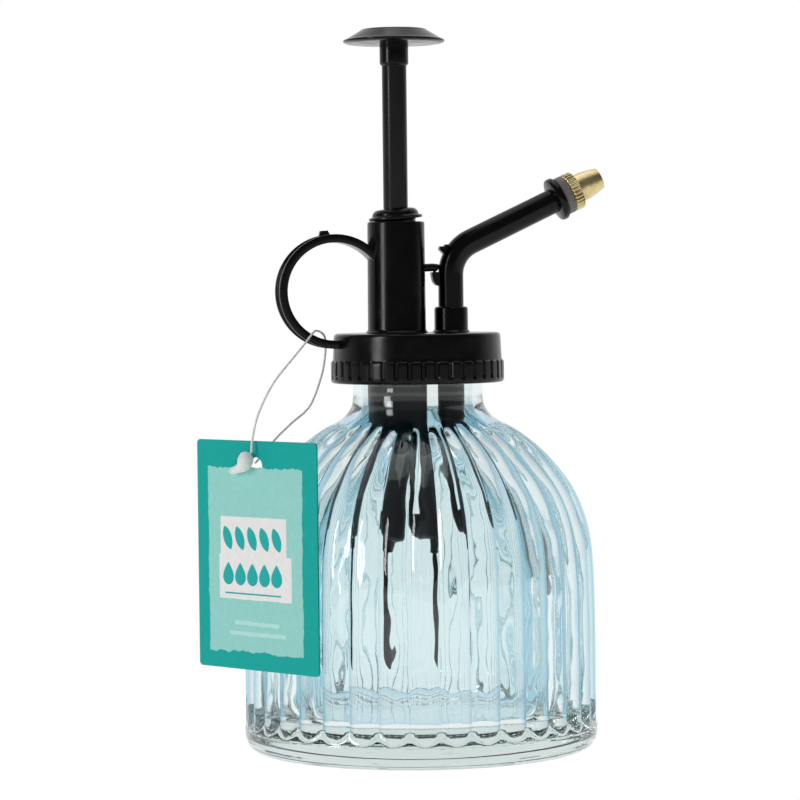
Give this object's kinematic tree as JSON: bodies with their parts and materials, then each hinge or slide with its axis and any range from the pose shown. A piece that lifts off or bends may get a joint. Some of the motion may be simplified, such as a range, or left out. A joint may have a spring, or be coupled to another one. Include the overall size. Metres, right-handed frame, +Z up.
{
  "type": "plant mister",
  "caption": "Fluted glass plant mister: domed bottle, black press pump with thumb button, finger ring, bent spout with a knurled brass nozzle, and a blank card tag on a nylon loop.",
  "frame": {"origin": "middle of the bottle's foot, on the surface it stands on, on the bottle's axis", "axes": "+Z up along the bottle's axis, +X towards the spout, -X towards the finger ring"},
  "size_m": [0.0952, 0.0808, 0.1635],
  "materials": {
    "bottle_glass": "clear pale blue pressed glass",
    "black_plastic": "black glossy moulded plastic",
    "grey_plastic": "grey matte moulded plastic",
    "clear_nylon": "translucent white nylon",
    "black_rubber": "black rubber seal",
    "spring_steel": "bright spring steel",
    "nozzle_brass": "turned brass, polished",
    "tag_card": "printed card, satin"
  },
  "bodies": {
    "bottle": {"glass_bottle": "bottle_glass"},
    "gasket": {"mouth_gasket": "black_rubber"},
    "head": {"pump_head": "black_plastic", "gland_cap": "black_plastic", "rod_seal": "black_rubber", "pump_cylinder": "black_plastic", "foot_valve_body": "black_plastic", "ball_cage": "grey_plastic", "dip_tube": "black_plastic", "transfer_tube": "black_plastic", "outlet_stub": "black_plastic", "outlet_spring": "spring_steel", "return_spring": "spring_steel", "spout": "black_plastic", "spout_o_ring": "black_rubber"},
    "plunger": {"thumb_button": "black_plastic", "piston_rod": "black_plastic", "piston_head": "black_plastic", "piston_cup": "black_rubber"},
    "inlet_check": {"inlet_ball": "spring_steel"},
    "outlet_check": {"outlet_ball": "spring_steel"},
    "washer": {"nozzle_washer": "grey_plastic"},
    "nozzle": {"brass_nozzle": "nozzle_brass", "swirl_insert": "grey_plastic"},
    "tag": {"hang_tag": "tag_card", "tag_loop": "clear_nylon", "loop_lock": "clear_nylon"}
  },
  "joints": [
    {"name": "head_turn", "type": "hinge", "parent": "bottle", "child": "gasket", "pos_m": [0, 0, 0.09175], "axis": [0, 0, 1], "range_deg": [0, 360]},
    {"name": "head_lift", "type": "slide", "parent": "gasket", "child": "head", "axis": [0, 0, 1], "range_m": [0, 0.004]},
    {"name": "plunger_press", "type": "slide", "parent": "head", "child": "plunger", "axis": [0, 0, -1], "range_m": [0, 0.03], "stiffness_N_per_m": 150, "springref_m": -0.02, "deforming": ["return_spring"]},
    {"name": "inlet_ball_lift", "type": "slide", "parent": "head", "child": "inlet_check", "axis": [0, 0, 1], "range_m": [0, 0.0015]},
    {"name": "outlet_ball_lift", "type": "slide", "parent": "head", "child": "outlet_check", "axis": [0, 0, 1], "range_m": [0, 0.0015], "stiffness_N_per_m": 20, "springref_m": -0.002, "deforming": ["outlet_spring"]},
    {"name": "nozzle_turn", "type": "hinge", "parent": "head", "child": "washer", "pos_m": [0.03331, 0, 0.12484], "axis": [0.9056, 0, 0.4242], "range_deg": [0, 360]},
    {"name": "nozzle_advance", "type": "slide", "parent": "washer", "child": "nozzle", "axis": [0.9056, 0, 0.4242], "range_m": [0, 0.0008]},
    {"name": "tag_swing", "type": "hinge", "parent": "head", "child": "tag", "pos_m": [-0.0193, 0, 0.1042], "axis": [0, 1, 0], "range_deg": [0, 50]}
  ],
  "couplings": [
    {"joint": "head_lift", "follows": "head_turn", "m_per_rad": 0.0006366},
    {"joint": "nozzle_turn", "follows": "nozzle_advance", "rad_per_m": 7854}
  ]
}
